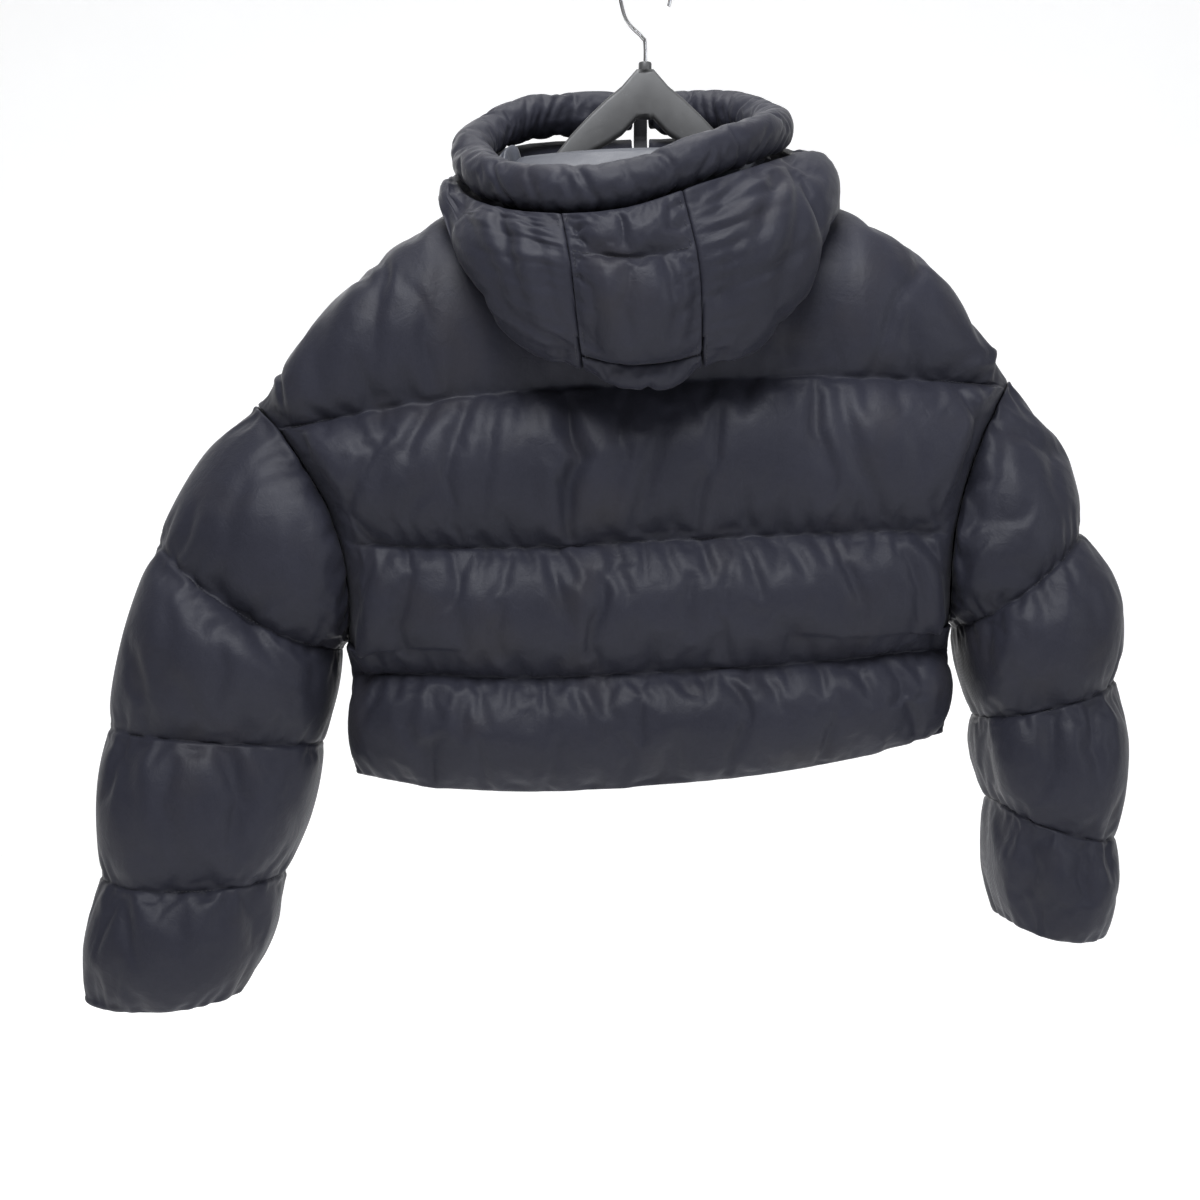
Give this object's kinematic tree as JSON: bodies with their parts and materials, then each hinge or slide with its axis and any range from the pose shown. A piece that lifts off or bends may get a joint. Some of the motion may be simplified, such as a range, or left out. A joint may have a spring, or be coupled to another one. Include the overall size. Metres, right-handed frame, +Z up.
{
  "type": "hooded puffer jacket on a clothes hanger",
  "caption": "Cropped hooded puffer jacket with horizontally quilted padded baffles and a zip front, hanging on a hanger by its wire hook.",
  "frame": {"origin": "inside top of the hanger's hook, where a rail carries it", "axes": "+Z up, the jacket's back faces +Y and its front -Y, +X towards the wearer's left"},
  "size_m": [0.9808, 0.3348, 0.9793],
  "materials": {
    "shell_cloth": "semi-gloss nylon over down padding, very dark navy",
    "lining_cloth": "soft satin lining, dark blue grey",
    "zip_tape": "matt woven tape",
    "zip_metal": "dark metal",
    "hanger_plastic": "satin moulded plastic, dark grey",
    "hook_chrome": "polished wire"
  },
  "bodies": {
    "jacket": {"back": "shell_cloth", "front_left": "shell_cloth", "front_right": "shell_cloth", "sleeve_left": "shell_cloth", "sleeve_right": "shell_cloth", "hood_side_left": "shell_cloth", "hood_side_right": "shell_cloth", "hood_center": "shell_cloth", "hood_nape": "shell_cloth", "hood_rim": "shell_cloth", "hood_lining": "lining_cloth", "zip_tape": "zip_tape", "zip_slider": "zip_metal", "hanger": "hanger_plastic", "hook": "hook_chrome"},
    "pull_tab": {"pull_tab": "zip_metal"}
  },
  "joints": [
    {"name": "pull_tab_hinge", "type": "hinge", "parent": "jacket", "child": "pull_tab", "pos_m": [0.002, -0.1028, -0.1855], "axis": [-1, 0, 0], "range_deg": [0, 120]}
  ]
}
